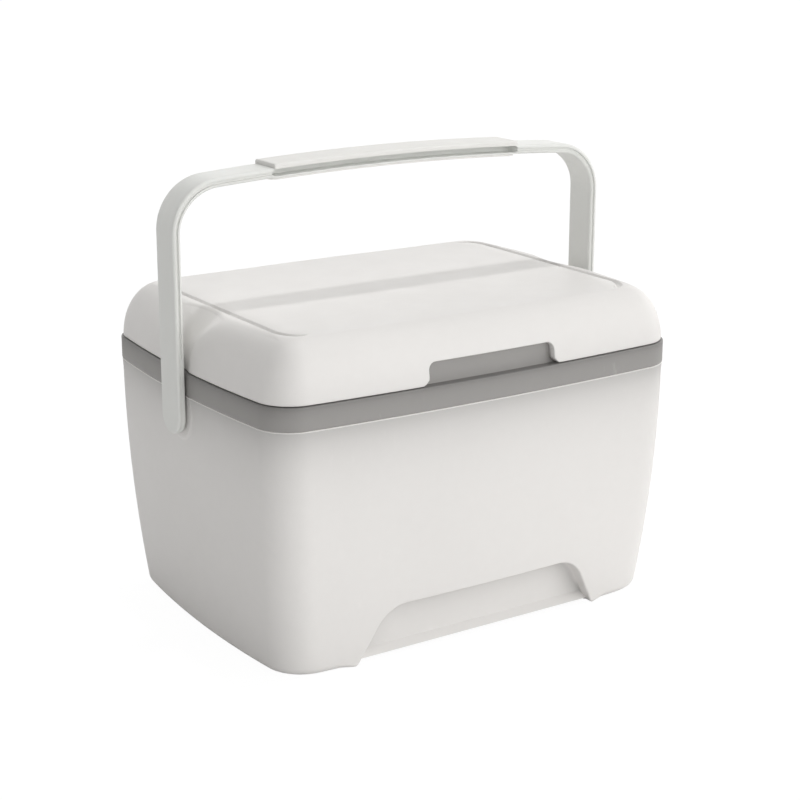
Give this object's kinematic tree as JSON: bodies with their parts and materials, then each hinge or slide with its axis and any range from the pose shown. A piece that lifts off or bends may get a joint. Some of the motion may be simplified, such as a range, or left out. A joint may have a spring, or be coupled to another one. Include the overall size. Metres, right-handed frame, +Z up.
{
  "type": "vaccine carrier",
  "caption": "White hand-carried vaccine carrier: insulated box with a grey rim, lift-off insulated lid, upright strap bail, and ice packs and foam pad inside.",
  "frame": {"origin": "on the floor under the centre of the box", "axes": "+Z up, -Y to the front with the finger notch, +X along the long side"},
  "size_m": [0.3332, 0.2408, 0.3078],
  "materials": {
    "white_shell": "fine satin grain",
    "grey_rim": "satin",
    "tub_plastic": "smooth",
    "insulation_foam": "open cell foam",
    "white_strap": "satin",
    "soft_grip": "matte",
    "gasket_rubber": "matte",
    "pin_steel": "turned",
    "washer_plastic": "satin",
    "ice_bottle": "blow moulded",
    "bottle_cap": "satin",
    "soft_foam": "closed cell foam"
  },
  "bodies": {
    "base": {"outer_shell": "white_shell", "rim_collar": "grey_rim", "inner_liner": "tub_plastic", "body_insulation": "insulation_foam", "ice_pack_front": "ice_bottle", "ice_pack_rear": "ice_bottle", "ice_cap_front": "bottle_cap", "ice_cap_rear": "bottle_cap", "foam_pad": "soft_foam"},
    "lid": {"lid_cover": "white_shell", "lid_liner": "tub_plastic", "lid_insulation": "insulation_foam", "lid_gasket": "gasket_rubber"},
    "handle": {"handle_bail": "white_strap", "grip_cover": "white_strap", "grip_pad": "soft_grip", "pivot_pin_left": "pin_steel", "pivot_pin_right": "pin_steel", "pivot_washer_left": "washer_plastic", "pivot_washer_right": "washer_plastic", "pivot_clip_left": "pin_steel", "pivot_clip_right": "pin_steel"}
  },
  "joints": [
    {"name": "lid_lift", "type": "slide", "parent": "base", "child": "lid", "axis": [0, 0, 1], "range_m": [0, 0.06]},
    {"name": "handle_swing", "type": "hinge", "parent": "base", "child": "handle", "pos_m": [0, 0, 0.1497], "axis": [1, 0, 0], "range_deg": [-124, 124]}
  ]
}
